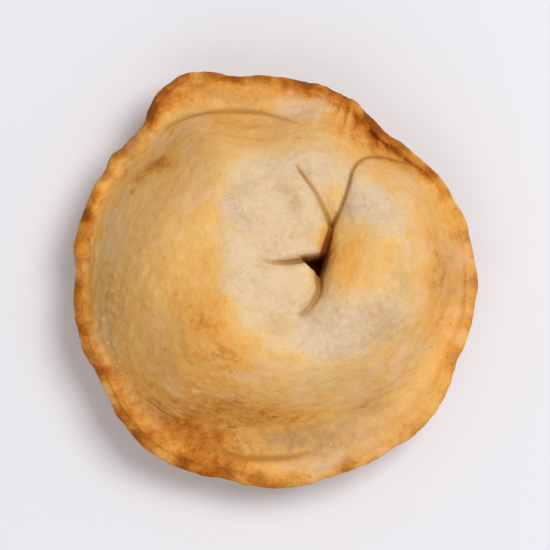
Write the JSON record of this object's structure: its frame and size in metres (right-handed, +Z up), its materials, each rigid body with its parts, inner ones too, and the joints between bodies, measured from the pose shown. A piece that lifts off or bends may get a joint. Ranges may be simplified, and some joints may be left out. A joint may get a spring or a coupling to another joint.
{
  "type": "baked pelmen dumpling",
  "caption": "Plump baked dumpling, folded to a ring round a small deep navel and sealed by a wavy pressed edge; golden crust with a pale floury top.",
  "frame": {"origin": "on the flat of the base, under the middle of the outline", "axes": "+Z up out of the navel side; +X to the right and +Y to the top of the view from above, with the tucked end of the ring running up and the pinched joint at the upper right"},
  "size_m": [0.0376, 0.039, 0.0174],
  "materials": {
    "baked_dough": "matte"
  },
  "bodies": {
    "root": {"pelmen": "baked_dough"}
  },
  "joints": []
}
